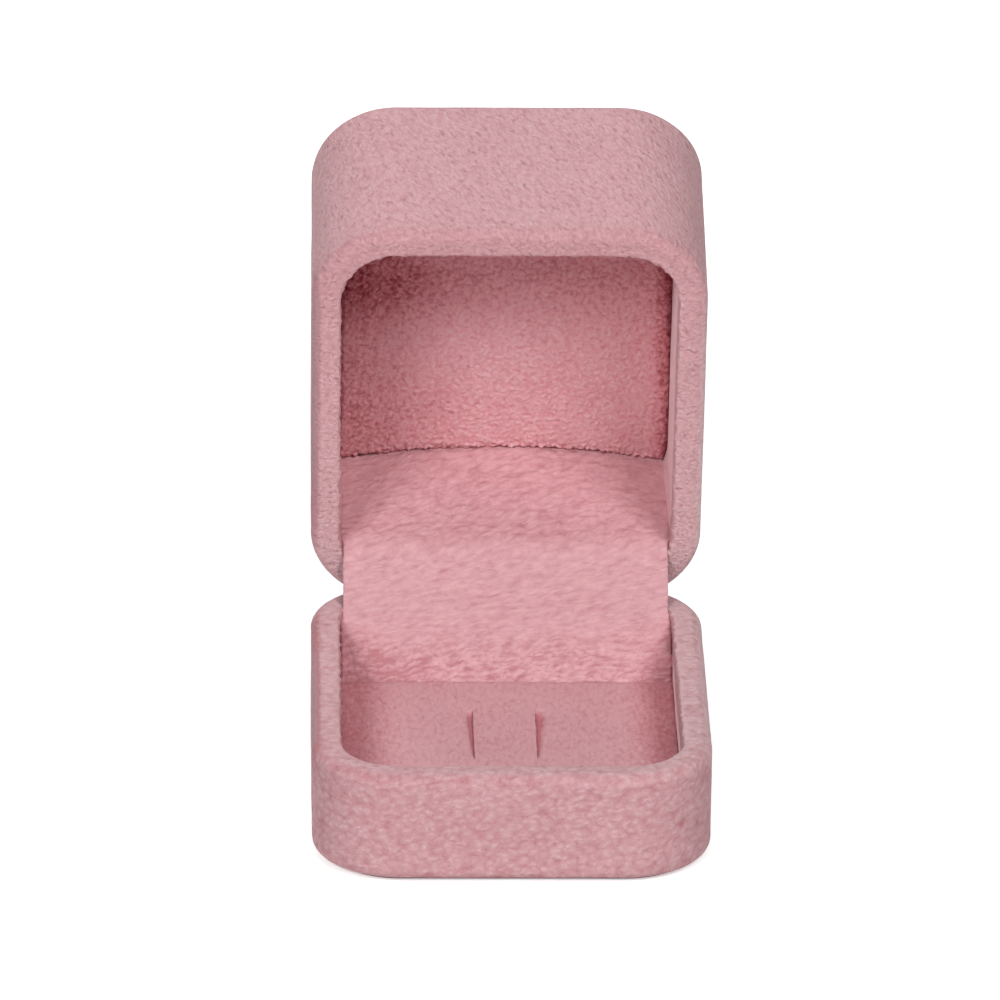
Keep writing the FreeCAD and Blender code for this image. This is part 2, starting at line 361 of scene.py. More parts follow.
def used_only(points, faces):
    """Drops the points that no face uses."""
    order = {}
    for face in faces:
        for index in face:
            order.setdefault(index, len(order))
    kept = [None] * len(order)
    for old, new in order.items():
        kept[new] = points[old]
    return kept, [tuple(order[index] for index in face) for face in faces]


def in_base(point):
    """From depths under the rim to the base's place."""
    return Vector((-point.x, point.y, base_height - point.z))


def from_rounded_edge(beside, above, radius):
    """Distance inwards from an edge with a rounded corner, from the distances to its two straights."""
    if beside < radius and above < radius:
        return radius - math.hypot(radius - beside, radius - above)
    return min(beside, above)


def inset_from_outline(place):
    return from_rounded_edge(half_width - abs(place.x), half_depth - abs(place.y), corner_radius)


def rim_painted_light(level, sideways, lengthways, round_shade, left):
    """Painted light along a rim: its flat is painted paler, more so towards one side and one end.

    Its outer rounding is painted darker, painted shade darkens the outside of the left wall near the
    rim, and painted light brightens the outside of the right wall and the hem inside it.
    """
    def shade(place):
        inset = inset_from_outline(place)
        flat = level + sideways * place.x / half_width + lengthways * place.y / half_depth
        # Painted light on the rim's flat, more towards one side and one end; painted shade on its outer
        # rounding.
        painted_rim = flat - round_shade * (1 - eased(0.7 * mm, rim_round, inset))
        from_left = half_width - left * place.x
        from_right = half_width + left * place.x
        off_corners = 1 - eased(17 * mm, 27 * mm, abs(place.y))
        near_rim = (1 - eased(1.5 * mm, 5.5 * mm, place.z)) * off_corners
        # Painted shade down the outside of the left wall near the rim, lighter towards the rear.
        away = (1 - eased(0.6 * mm, 1.3 * mm, from_left)) * near_rim
        away *= 1 - 0.4 * eased(4 * mm, 20 * mm, place.y)
        # Painted light on the outside of the right wall near the rim, and on the hem inside it.
        right_light = 0.3 * (1 - eased(0.4 * mm, 1.1 * mm, from_right)) * near_rim
        above_lining = 1 - eased(hem_depth, hem_depth + 1.5 * mm, place.z)
        on_hem = eased(3.3 * mm, 3.9 * mm, inset) * above_lining
        right_light += 0.15 * on_hem * (1 - eased(9 * mm, 19 * mm, from_right))
        on_rim = 1 - eased(0.6 * mm, 2.2 * mm, place.z)
        return painted_rim * on_rim - 0.6 * away + right_light
    return shade


def hand_laid(place):
    """Slight unevenness of suede pulled on by hand, with a ragged nap at the rim's inner edge."""
    slow = noise.noise(place / (9 * mm))
    quick = noise.noise(place / (2.4 * mm) + Vector((7, 3, 1)))
    ragged = noise.noise(place / (0.5 * mm))
    inner = eased(3.4 * mm, 3.8 * mm, inset_from_outline(place))
    inner *= 1 - eased(1.0 * mm, 2.2 * mm, place.z)
    inner *= eased(0.05 * mm, 0.3 * mm, place.z)
    level = 0.3 + 0.7 * eased(0.2 * mm, 1.6 * mm, place.z)
    return level * (0.05 * mm * slow + 0.022 * mm * quick) + 0.42 * mm * inner * ragged


def brushed_suede(
        name, tones, clump, lean=((0, 0, 1), 0),
        relief=1.0, parting=1.0, swelling=1.1, pitting=1.0, sheen=0.15):
    """Microfibre suede: clumps of nap of a size and lean, partings between them, pits and fibres.

    The partings and pits are painted darker, as painted shade in the hollows of the bump, and the
    shade attribute adds each piece's painted light and shade.
    """
    finish = Finish(name)
    lay = finish.node("Attribute", {"attribute_name": "lay"}, {}, "Vector")
    leaned = finish.node(
        "VectorRotate", {}, {"Vector": lay, "Axis": lean[0], "Angle": math.radians(lean[1])}, "Vector")
    drawn = finish.node(
        "VectorMath", {"operation": "DIVIDE"}, {0: leaned, 1: [size * mm for size in clump]}, "Vector")
    wander = finish.node("TexNoise", {}, {"Vector": drawn, "Scale": 0.9, "Detail": 2.0}, "Color")
    stray = finish.node(
        "VectorMath", {"operation": "MULTIPLY_ADD"}, {0: wander, 1: (1.5, 1.5, 1.5), 2: drawn}, "Vector")
    cell = finish.node(
        "TexVoronoi", {"feature": "SMOOTH_F1"}, {"Vector": stray, "Scale": 1.0, "Smoothness": 0.35})
    swell = finish.node("TexNoise", {}, {"Vector": drawn, "Scale": 0.8, "Detail": 2.0, "Roughness": 0.6})
    pressed = finish.node("TexNoise", {}, {"Vector": drawn, "Scale": 0.85, "Detail": 1.0, "Distortion": 0.4})
    pit = finish.node("Math", {"operation": "MAXIMUM"}, {0: 0.43 - pressed, 1: 0.0})
    fibre = finish.node("TexNoise", {}, {"Vector": lay, "Scale": 5200.0, "Detail": 2.0, "Roughness": 0.7})
    patch = finish.node("TexNoise", {}, {"Vector": lay, "Scale": 140.0, "Detail": 2.0})
    shade = finish.node("Attribute", {"attribute_name": "shade"}, {}, "Fac")
    # The nap sets both the bump and the tone, so its low partings and pits are painted shade.
    nap = (0.5 - cell) * 0.7 * parting + (swell - 0.5) * swelling - pit * 3.5 * pitting
    tone = finish.node(
        "ValToRGB", {"stops": list(zip(tone_places, tones))},
        {0: 0.5 + nap * 0.5 + (patch - 0.5) * 0.15 + (fibre - 0.5) * 0.4 + shade})
    finish.shade(Base_Color=tone, Roughness=0.84 + 0.14 * swell)
    finish.shade(
        Sheen_Weight=sheen, Sheen_Roughness=0.45, Sheen_Tint=suede_sheen, Specular_IOR_Level=0.1)
    finish.shade(Normal=finish.node(
        "Bump", {}, {"Strength": 0.8, "Distance": 0.22 * mm * relief, "Height": nap + fibre * 0.12}))
    return finish


base_profile = joined_profile(
    rim_profile()
    + [arc(foot_round, base_height - foot_sheet - foot_round, foot_round, 0, -90, 5)]
    + [[(hem_width, base_height - foot_sheet)]], suede_step)
points, faces = swept_skin(base_profile, suede_step)
points, faces = used_only(points, clear_of_hinge(points, faces))
# The base cover carries painted light and shade along its rim and the tops of its walls.
base_cover = laid_piece(
    "base_cover", [slope_rear(point) for point in points], faces, in_base, points,
    rim_painted_light(level=0.2, sideways=-0.07, lengthways=0.06, round_shade=0.16, left=1))
push_out(base_cover, hand_laid)
thicken(base_cover, suede_thickness)
base_tones = (base_deep, base_rose, base_pale, base_shadow_tone)
brushed_suede(
    "base_suede", base_tones, (1.15, 1.15, 0.85), lean=((0, 1, 0), 12),
    relief=1.1, parting=1.15, swelling=0.65, pitting=0.4).paint(base_cover)
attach(base_cover, "base")
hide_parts("base_wrap")

# Base wall lining
# A strip of the same suede is glued round the inner walls, butted under the hem and cut away
# where the hinge sits. The insert hides its lower half.
base_floor = 14.1 * mm
lining_step = 1.0 * mm
lining_butt = 0.05 * mm
lining_clear = 0.4 * mm


def lining_shade(left):
    """Painted light on the right wall, and painted shade deep inside on the others, less towards the rear."""
    def shade(place):
        right = eased(8 * mm, 18 * mm, -left * place.x)
        painted_deep_shade = eased(8 * mm, 19 * mm, place.z)
        forward = 1 - eased(6 * mm, 22 * mm, place.y)
        return 0.35 * right - 0.3 * (1 - right) * painted_deep_shade * forward
    return shade


def wall_lining(name, bottom, set_up, left, body, node):
    profile = joined_profile([[(wall, bottom)], [(wall, hem_depth + lining_butt)]], lining_step)
    points, faces = swept_skin(profile, lining_step)
    points, faces = used_only(points, clear_of_hinge(points, faces))
    lining = laid_piece(name, points, faces, set_up, shade=lining_shade(left))
    push_out(lining, hand_laid)
    thicken(lining, suede_thickness)
    inner_suede.paint(lining)
    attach(lining, body)
    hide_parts(node)


lining_deep = (0.33, 0.10, 0.115, 1)
lining_rose = (0.63, 0.315, 0.34, 1)
# The palest lining tone is reached mostly on the right wall, where light is painted.
lining_pale = (0.78, 0.50, 0.525, 1)
inner_suede = brushed_suede(
    "lining_suede", (lining_deep, lining_rose, lining_pale), (0.8, 0.8, 0.8),
    relief=0.7, parting=0.8, pitting=0.2, sheen=0.6)
wall_lining(
    "base_lining", base_floor - lining_clear, in_base, left=1,
    body="base", node="base_wall_lining")

# Foot sheet
# A sheet of thin felt is glued under the base, over the turned-under hem, and the box stands on it.
felt_deep = (0.30, 0.17, 0.18, 1)
felt_pale = (0.46, 0.29, 0.30, 1)


def pressed_felt():
    finish = Finish("foot_felt")
    place = finish.node("TexCoord", {}, {}, "Object")
    strand = finish.node("TexNoise", {}, {"Vector": place, "Scale": 1500.0, "Detail": 4.0, "Distortion": 2.5})
    tuft = finish.node("TexNoise", {}, {"Vector": place, "Scale": 300.0, "Detail": 2.0})
    tone = finish.node(
        "ValToRGB", {"stops": [(0.3, felt_deep), (0.7, felt_pale)]}, {0: strand * 0.6 + tuft * 0.4})
    finish.shade(Base_Color=tone, Roughness=0.9 + 0.1 * strand, Sheen_Weight=0.2)
    finish.shade(Normal=finish.node("Bump", {}, {"Strength": 0.6, "Distance": 0.1 * mm, "Height": strand}))
    return finish


pressed_felt().paint(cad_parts["base_foot_sheet"])

# Ring insert
# A slit card on a foam block is covered in smooth suede. Two slits free a tab in the middle, and a
# ring is pushed down behind it. The suede turns down into the slits, most of all at their rear ends.
insert_half = 23.52 * mm
insert_front = -28.42 * mm
insert_rear = 16.7 * mm
insert_corner = 7.92 * mm
insert_top = 8.2 * mm
insert_step = 0.4 * mm
insert_suede = 0.45 * mm
insert_skirt = 2.4 * mm
slit_sides = [(-4.89 * mm, -4.87 * mm), (3.82 * mm, 3.84 * mm)]
lip_widths = [1.0 * mm, 1.5 * mm]
lip_step = 0.13 * mm
lip_reach = 2.2 * mm
slit_front = -9.55 * mm
slit_rear = 7.15 * mm
insert_deep = (0.46, 0.17, 0.19, 1)
insert_rose = (0.60, 0.328, 0.352, 1)
insert_pale = (0.665, 0.40, 0.425, 1)


def spaced(stops, step):
    """Places from the first stop to the last, evenly spaced between stops and with each stop kept."""
    made = [stops[0]]
    for low, high in zip(stops, stops[1:]):
        steps = max(1, round((high - low) / step))
        made += [low + (high - low) * index / steps for index in range(1, steps + 1)]
    return made


def grid_faces(rows, columns):
    """Faces between the neighbours in a grid of points that is listed row by row."""
    faces = []
    for row in range(rows - 1):
        for column in range(columns - 1):
            start = row * columns + column
            faces.append((start, start + 1, start + columns + 1, start + columns))
    return faces


def panel_grid(across, shares, low_edge, high_edge):
    """Points and faces of a flat panel between two edges that depend on the place across it."""
    points = []
    for share in shares:
        for x in across:
            low = low_edge(x)
            points.append(Vector((x, low + share * (high_edge(x) - low), 0)))
    return points, grid_faces(len(shares), len(across))


def open_edges(faces):
    """Edges that only one face has, each in that face's direction."""
    seen = {(first, last) for face in faces for first, last in zip(face, face[1:] + face[:1])}
    return sorted((first, last) for first, last in seen if (last, first) not in seen)


def turned_over(points, faces, foot):
    """Adds a skirt along every open edge of a panel, down to the foot of each point."""
    rim = open_edges(faces)
    under = {}
    for pair in rim:
        for index in pair:
            if index not in under:
                under[index] = len(points)
                points.append(foot(points[index]))
    for first, last in rim:
        faces.append((last, first, under[first], under[last]))
    return points, faces


def closed_up(faces):
    """Closes the one open edge that is left with a flat face."""
    follows = {last: first for first, last in open_edges(faces)}
    loop = [min(follows)]
    while follows[loop[-1]] != loop[0]:
        loop.append(follows[loop[-1]])
    return faces + [tuple(loop)]


def rounded_front(x, half, front, corner):
    """Front edge of a panel at a place across it, with its rounded corners."""
    past = abs(x) - (half - corner)
    if past <= 0:
        return front
    return front + corner - math.sqrt(max(corner ** 2 - past ** 2, 0))


def insert_edge(x):
    return rounded_front(x, insert_half, insert_front, insert_corner)


def insert_back(x):
    return insert_rear


def insert_form(point):
    """Rolls the insert's edges and sinks the outer lips of its slits, most of all at the rear."""
    x, y = point.x, point.y
    edge = min(insert_half - abs(x), y - insert_edge(x), insert_rear - y)
    fray = 0.16 * mm * noise.noise(Vector((9, y / (0.7 * mm), 0)))
    uneven = 0.1 * mm * noise.noise(Vector((x, y, 0)) / (11 * mm))
    height = uneven - 0.25 * mm * math.exp(-max(edge, 0) / (0.5 * mm))
    for (low, high), broad in zip(slit_sides, lip_widths):
        outer, inner = (low - x, x - high) if low < 0 else (x - high, low - x)
        share = min(max((y - slit_front) / (slit_rear - slit_front), 0), 1)
        ends = min(1, 8 * share, 7 * (1 - share))
        if outer > -1e-7:
            lip = broad * (0.2 + 0.8 * share)
            height -= ends * (0.45 + 0.35 * share) * mm * math.exp(-(outer / lip) ** 2)
        elif inner > -1e-7:
            height -= ends * 0.08 * mm * math.exp(-(inner / (0.2 * mm)) ** 2)
        from_slit = min(abs(x - low), abs(x - high))
        x += fray * ends * (1 - eased(0, 0.6 * mm, from_slit))
    return Vector((x, y, insert_top + height))


def insert_shade(place):
    """Painted shade at both ends of the insert, where the walls shade it, and down in the slits."""
    ends = 0.24 * eased(15 * mm, 22 * mm, place.x) + 0.26 * eased(14 * mm, 22 * mm, -place.x)
    return -ends - 0.5 * eased(0.12 * mm, 0.55 * mm, insert_top - place.z)


def outside_slits(points, faces):
    """Faces without those that the slits take out of the insert's top."""
    kept = []
    for face in faces:
        middle = middle_of(points, face)
        across_slit = any(low < middle.x < high for low, high in slit_sides)
        if not (across_slit and slit_front < middle.y < slit_rear):
            kept.append(face)
    return kept


def insert_foot(point):
    return point - Vector((0, 0, insert_skirt))


def as_placed(point):
    return point


insert_long = insert_rear - insert_front
across = []
for (low, high), begin, end in zip(slit_sides, (-insert_half, 0), (0, insert_half)):
    across += spaced([begin, low - lip_reach], insert_step)
    across += spaced([low - lip_reach, low, high, high + lip_reach], lip_step)[1:]
    across += spaced([high + lip_reach, end], insert_step)[1:-1 if end == 0 else None]
slit_shares = [(slit_front - insert_front) / insert_long, (slit_rear - insert_front) / insert_long]
shares = spaced([0] + slit_shares + [1], insert_step / insert_long)
points, faces = panel_grid(across, shares, insert_edge, insert_back)
faces = outside_slits(points, faces)
points, faces = turned_over([insert_form(point) for point in points], faces, insert_foot)
points, faces = used_only(points, faces)
insert_top_suede = laid_piece("insert_suede_top", points, faces, as_placed, shade=insert_shade)
thicken(insert_top_suede, insert_suede)
brushed_suede(
    "insert_suede", (insert_deep, insert_rose, insert_pale), (0.55, 1.25, 0.6),
    relief=0.5, parting=0.7, swelling=0.9, pitting=0.3, sheen=0.1).paint(insert_top_suede)
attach(insert_top_suede, "base")
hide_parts("insert_cover")

# Card and foam of the insert
# Grey board under the suede keeps the top flat, with the same slits, and a block of open foam
# under it grips the ring's band.
card_deep = (0.30, 0.29, 0.28, 1)
card_pale = (0.47, 0.46, 0.44, 1)
foam_deep = (0.50, 0.48, 0.45, 1)
foam_pale = (0.78, 0.76, 0.71, 1)


def grey_board():
    finish = Finish("grey_card")
    place = finish.node("TexCoord", {}, {}, "Object")
    pulp = finish.node("TexNoise", {}, {"Vector": place, "Scale": 900.0, "Detail": 5.0, "Distortion": 1.0})
    speck = finish.node("TexVoronoi", {}, {"Vector": place, "Scale": 600.0})
    tone = finish.node(
        "ValToRGB", {"stops": [(0.3, card_deep), (0.75, card_pale)]}, {0: pulp * 0.8 + speck * 0.25})
    finish.shade(Base_Color=tone, Roughness=0.85 + 0.1 * pulp)
    finish.shade(Normal=finish.node("Bump", {}, {"Strength": 0.3, "Distance": 0.05 * mm, "Height": pulp}))
    return finish


def open_foam():
    finish = Finish("open_foam")
    place = finish.node("TexCoord", {}, {}, "Object")
    cell = finish.node("TexVoronoi", {"feature": "SMOOTH_F1"}, {"Vector": place, "Scale": 1800.0})
    tone = finish.node("ValToRGB", {"stops": [(0.1, foam_pale), (0.7, foam_deep)]}, {0: cell})
    finish.shade(Base_Color=tone, Roughness=0.85 + 0.1 * cell)
    finish.shade(Normal=finish.node("Bump", {}, {"Strength": 0.7, "Distance": 0.2 * mm, "Height": 1 - cell}))
    return finish


grey_board().paint(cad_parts["insert_board"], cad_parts["ceiling_board"])

foam_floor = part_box("insert_foam")[0][2]
foam_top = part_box("insert_foam")[1][2]
foam_step = 0.9 * mm
foam_slit = 0.35 * mm
foam_slit_depth = 3.0 * mm
foam_lean = math.tan(half_opening)
foam_rear = insert_rear - foam_lean * (insert_top - foam_top) - 0.3 * mm


def foam_back(x):
    return foam_rear


def foam_form(point):
    """Cuts the slits into the block's top and rounds its edges off a little."""
    x, y = point.x, point.y
    edge = min(insert_half - abs(x), y - insert_edge(x), foam_rear - y)
    height = -0.4 * mm * math.exp(-max(edge, 0) / (0.4 * mm)) + 0.05 * mm * noise.noise(point / (3 * mm))
    in_slit = any(abs(x - (low + high) / 2) < 0.6 * foam_slit for low, high in slit_sides)
    if in_slit and slit_front < y < slit_rear:
        height -= foam_slit_depth
    return Vector((x, y, foam_top + min(height, 0)))


def foam_foot(point):
    """Where the block's side meets the floor. The rear side leans with the flap."""
    lean = foam_lean * (point.z - foam_floor) if point.y > foam_rear - 0.1 * mm else 0
    return Vector((point.x, point.y - lean, foam_floor))


foam_stops = [-insert_half]
for low, high in slit_sides:
    middle = (low + high) / 2
    foam_stops += [middle + foam_slit * share for share in (-1, -0.5, 0.5, 1)]
across = spaced(foam_stops + [insert_half], foam_step)
shares = spaced([0, 1], foam_step / (foam_rear - insert_front))
points, faces = panel_grid(across, shares, insert_edge, foam_back)
points, faces = turned_over([foam_form(point) for point in points], faces, foam_foot)
foam_block = laid_piece("insert_block", points, closed_up(faces), as_placed)
open_foam().paint(foam_block)
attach(foam_block, "base")
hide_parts("insert_foam")

# Snap hinge
# Two rolled steel leaves turn on one pin. A flat blue spring on the base's leaf bears on a cam of the
# lid's knuckle, and rivets hold the leaves to the shells. The flap hides it from the front.
steel_deep = (0.30, 0.30, 0.31, 1)
steel_pale = (0.56, 0.56, 0.57, 1)
spring_deep = (0.12, 0.13, 0.16, 1)
spring_pale = (0.34, 0.35, 0.40, 1)


def rolled_steel(name, deep, pale):
    finish = Finish(name)
    place = finish.node("TexCoord", {}, {}, "Object")
    drawn = finish.node("VectorMath", {"operation": "MULTIPLY"}, {0: place, 1: (60, 2600, 2600)}, "Vector")
    grain = finish.node("TexNoise", {}, {"Vector": drawn, "Scale": 1.0, "Detail": 3.0})
    stain = finish.node("TexNoise", {}, {"Vector": place, "Scale": 260.0, "Detail": 3.0})
    tone = finish.node("ValToRGB", {"stops": [(0.3, deep), (0.7, pale)]}, {0: grain * 0.5 + stain * 0.5})
    finish.shade(Base_Color=tone, Metallic=1.0, Roughness=0.28 + 0.25 * stain)
    finish.shade(Normal=finish.node("Bump", {}, {"Strength": 0.2, "Distance": 0.02 * mm, "Height": grain}))
    return finish


rolled_steel("hinge_steel", steel_deep, steel_pale).paint(*[
    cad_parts[name] for name in
    ("hinge_leaf_base", "hinge_leaf_lid", "hinge_pin", "base_leaf_rivets", "lid_leaf_rivets")])
rolled_steel("spring_steel", spring_deep, spring_pale).paint(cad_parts["snap_spring"])

# Lid cover
# The lid wears the same suede as the base, pulled over its top and its deep walls and turned in over
# the rim. The lid stands open on its stop, tipped back about the hinge axis.
lid_height = 31.0 * mm
rim_gap = 0.2 * mm
top_round = 1.5 * mm
lid_deep = (0.47, 0.235, 0.255, 1)
lid_rose = (0.605, 0.343, 0.365, 1)
lid_pale = (0.70, 0.475, 0.495, 1)
# The fourth lid tone is the rose in less light: a painted shadow tone, reached where painted shade is strong.
lid_shadow_tone = (0.45, 0.257, 0.275, 1)
opened = (Matrix.Translation((0, hinge_y, hinge_z)) @ Matrix.Rotation(-2 * half_opening, 4, "X")
          @ Matrix.Translation((0, -hinge_y, base_height + rim_gap - hinge_z)))


def in_lid(point):
    """From depths behind the lid's rim to its open place."""
    return opened @ point


lid_profile = joined_profile(
    rim_profile() + [arc(top_round, lid_height - top_round, top_round, 0, -90, 5)], suede_step)
points, faces = swept_skin(lid_profile, suede_step, capped=True)
points, faces = used_only(points, clear_of_hinge(points, faces))
# The lid cover carries painted light and shade along its rim and the tops of its walls.
lid_cover = laid_piece(
    "lid_cover", [slope_rear(point) for point in points], faces, in_lid, points,
    rim_painted_light(level=0.04, sideways=0, lengthways=0.2, round_shade=0.06, left=-1))
push_out(lid_cover, hand_laid)
thicken(lid_cover, suede_thickness)
lid_tones = (lid_deep, lid_rose, lid_pale, lid_shadow_tone)
brushed_suede(
    "lid_suede", lid_tones, (0.55, 0.55, 0.95), lean=((0, 1, 0), 25),
    relief=1.2, parting=1.1, swelling=0.6, pitting=0.7).paint(lid_cover)
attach(lid_cover, "lid")
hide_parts("lid_wrap")

# Lid wall lining
# The lid's inner walls have their own strip of suede, from the hem down to the ceiling card.
lid_ceiling = 28.5 * mm
wall_lining(
    "lid_lining", lid_ceiling - lining_clear, in_lid, left=-1,
    body="lid", node="lid_wall_lining")

# Ceiling pad
# A thick panel of short curled plush is stretched over foam and card and pressed into the lid.
# Its pile stands in curls under a millimetre, and its rounded lower edge rests on the flap.
plush_half = 23.55 * mm
plush_front = -28.42 * mm
plush_corner = 8.0 * mm
plush_low_corner = 1.6 * mm
plush_face = 21.2 * mm
plush_back = 27.6 * mm
plush_edge = 1.0 * mm
plush_step = 0.17 * mm
curl_seed = 11
flap_over_wall = 7.31 * mm
crown_rise = 1.45 * mm
crown_bend_left = 132 * mm
crown_bend_right = 106 * mm
# The darkest plush tone is a painted shadow tone, reached in the painted shadow and the deepest partings.
plush_shadow_tone = (0.24, 0.045, 0.055, 1)
plush_deep = (0.50, 0.17, 0.19, 1)
plush_rose = (0.72, 0.345, 0.375, 1)
plush_pale = (0.80, 0.51, 0.54, 1)
plush_sheen = (1.0, 0.80, 0.83, 1)


def flap_crown(x):
    """How much the flap stands up over the hinge where it meets the ceiling. It sags to both sides."""
    return crown_rise - x * x / (2 * (crown_bend_left if x < 0 else crown_bend_right))


def plush_top(x):
    return rounded_front(x, plush_half, plush_front, plush_corner)


def flap_line(x):
    """Where the pad's lower edge meets the flap."""
    return hinge_y - flap_over_wall - flap_crown(x)


def plush_foot(x):
    """Lower edge of the pad, ragged where it rests on the flap. One corner stands round and free."""
    past = max(x - (plush_half - plush_low_corner), 0)
    lift = plush_low_corner - math.sqrt(max(plush_low_corner ** 2 - past ** 2, 0))
    ragged = 0.34 * mm * noise.noise(Vector((x / (0.8 * mm), 5, 0)))
    ragged += 0.22 * mm * noise.noise(Vector((x / (0.36 * mm), 8, 0)))
    return flap_line(x) - lift - ragged


def plush_form(point):
    """Rounds the pad's edges back from its face."""
    above = point.y - plush_front
    below = flap_line(point.x) - point.y
    from_top = from_rounded_edge(plush_half - abs(point.x), above, plush_corner)
    from_foot = from_rounded_edge(plush_half - point.x, below, plush_low_corner)
    edge = max(min(from_top, from_foot), 0)
    back = 0
    if edge < plush_edge:
        back = plush_edge - math.sqrt(plush_edge ** 2 - (plush_edge - edge) ** 2)
    return Vector((point.x, point.y, plush_face + back))


def plush_heel(point):
    return Vector((point.x, point.y, plush_back))


def curl_height(place):
    """Short tufts of pile with partings between them, from 0 to about 1."""
    spot = place / (0.8 * mm)
    nearest = noise.voronoi(spot + 0.5 * noise.noise_vector(spot * 0.9))[0][0]
    return min(max(0.9 - 1.05 * nearest + 0.45 * noise.noise(spot * 2.1), 0), 1)


def plush_shade(place):
    """Painted light in the pad's middle, and painted shade towards the front wall and its sides.

    A painted shadow darkens its front-left corner, and the painted shade is strongest at the right edge.
    """
    middle = 11 * mm * eased(0, 14 * mm, place.y)
    painted_light_middle = eased(-10 * mm, 4 * mm, place.y) * (1 - eased(12 * mm, 28 * mm, abs(place.x - middle)))
    painted_deep_shade = 1 - eased(-12 * mm, 0, place.y)
    # Painted shadow in the pad's front-left corner.
    corner = (1 - eased(-9 * mm, 3 * mm, place.y)) * (1 - eased(-17 * mm, -4 * mm, place.x))
    sides = 0.09 * eased(16 * mm, 23 * mm, -place.x) + 0.4 * eased(20 * mm, 23.3 * mm, place.x)
    return 0.05 + 0.13 * painted_light_middle - 0.05 * painted_deep_shade - 0.24 * corner - sides


def plush_push(place):
    """Curls stand out of the pad's face, and further where they spill over its lower edge."""
    from_foot = flap_line(place.x) - place.y
    curl = 0.2 * mm + 0.4 * mm * (1 - eased(0.6 * mm, 2.2 * mm, from_foot))
    return curl * (curl_height(place) - 0.5) + 0.12 * mm * noise.noise(place / (6 * mm))


def curled_plush():
    finish = Finish("ceiling_plush")
    lay = finish.node("Attribute", {"attribute_name": "lay"}, {}, "Vector")
    pile = finish.node("Attribute", {"attribute_name": "pile"}, {}, "Fac")
    fibre = finish.node("TexNoise", {}, {"Vector": lay, "Scale": 1700.0, "Detail": 3.0, "Distortion": 0.8})
    patch = finish.node("TexNoise", {}, {"Vector": lay, "Scale": 160.0, "Detail": 2.0})
    shade = finish.node("Attribute", {"attribute_name": "shade"}, {}, "Fac")
    # The low curls are painted darker, as painted shade between them, and the shade attribute adds the pad's
    # painted light and shade.
    tone = finish.node(
        "ValToRGB",
        {"stops": [(0.0, plush_shadow_tone), (0.22, plush_deep), (0.5, plush_rose), (0.95, plush_pale)]},
        {0: 0.5 + (pile - 0.45) * 0.4 + (fibre - 0.5) * 0.55 + (patch - 0.5) * 0.2 + shade})
    finish.shade(Base_Color=tone, Roughness=0.85 + 0.12 * fibre)
    finish.shade(
        Sheen_Weight=0.05, Sheen_Roughness=0.5, Sheen_Tint=plush_sheen, Specular_IOR_Level=0.05)
    finish.shade(Normal=finish.node("Bump", {}, {"Strength": 0.8, "Distance": 0.25 * mm, "Height": fibre}))
    return finish


def mirrored(faces):
    return [face[::-1] for face in faces]


noise.seed_set(curl_seed)
across = spaced([-plush_half, plush_half], plush_step)
plush_long = hinge_y - flap_over_wall - plush_front
shares = spaced([0, 1], plush_step / plush_long)
points, faces = panel_grid(across, shares, plush_top, plush_foot)
points, faces = turned_over([plush_form(point) for point in points], mirrored(faces), plush_heel)
ceiling_pad = laid_piece("ceiling_pad", points, closed_up(faces), in_lid, shade=plush_shade)
# The pile height also paints the partings between curls darker, as painted shade.
pile = ceiling_pad.data.attributes.new("pile", "FLOAT", "POINT")
for index, point in enumerate(points):
    pile.data[index].value = curl_height(point)
push_out(ceiling_pad, plush_push)
curled_plush().paint(ceiling_pad)
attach(ceiling_pad, "lid")
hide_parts("ceiling_plush", "ceiling_foam")

# Hinge flap
# A wide strip of suede, bonded to springy film, hides the hinge. It rises behind the insert, bends
# over both rims and runs back to the ceiling. It bends the other way as the lid shuts; here it is
# drawn only as it lies with the lid open.
flap_half = 22.88 * mm
flap_over_ramp = 5.28 * mm
flap_tuck = 2.5 * mm
flap_bend = 5.8 * mm
flap_foot = 3.6 * mm
flap_step = 0.22 * mm
flap_thickness = 0.45 * mm
flap_turn = [
    (0.22 * mm, 0.05 * mm), (0.42 * mm, 0.2 * mm),
    (0.54 * mm, 0.4 * mm), (0.6 * mm, 0.65 * mm)]
crease_pitch = 1.05 * mm
droop = 0.8 * mm
flap_deep = (0.50, 0.215, 0.24, 1)
flap_rose = (0.64, 0.347, 0.376, 1)
flap_pale = (0.74, 0.44, 0.465, 1)


def evenly(length):
    """Shares of a length, from 0 to 1, one step of the flap apart."""
    steps = max(1, round(length / flap_step))
    return [index / steps for index in range(steps + 1)]


def flap_path():
    """(y, z) points of the flap's upper face, from its foot behind the insert to the ceiling."""
    axis = Vector((hinge_y, hinge_z))
    ramp_out = Vector((-math.cos(half_opening), math.sin(half_opening)))
    ramp_up = Vector((math.sin(half_opening), math.cos(half_opening)))
    wall_out = Vector((-math.cos(2 * half_opening), math.sin(2 * half_opening)))
    wall_back = Vector((math.sin(2 * half_opening), math.cos(2 * half_opening)))
    ramp = axis + ramp_out * flap_over_ramp
    meet = (flap_over_wall - flap_over_ramp * math.cos(half_opening)) / math.sin(half_opening)
    corner = ramp + ramp_up * meet
    tangent = flap_bend * math.tan(half_opening / 2)
    foot = ramp + ramp_up * ((flap_foot - ramp.y) / ramp_up.y)
    centre = corner - ramp_up * tangent - ramp_out * flap_bend
    end = axis + wall_out * flap_over_wall + wall_back * (plush_face + flap_tuck + rim_gap / 2)
    first = corner - ramp_up * tangent
    last = corner + wall_back * tangent
    path = [foot.lerp(first, share) for share in evenly((first - foot).length)]
    turns = evenly(flap_bend * half_opening)
    for share in turns[1:]:
        angle = half_opening * share
        path.append(centre + (ramp_out * math.cos(angle) + ramp_up * math.sin(angle)) * flap_bend)
    path += [last.lerp(end, share) for share in evenly((end - last).length)[1:]]
    return path, first, last


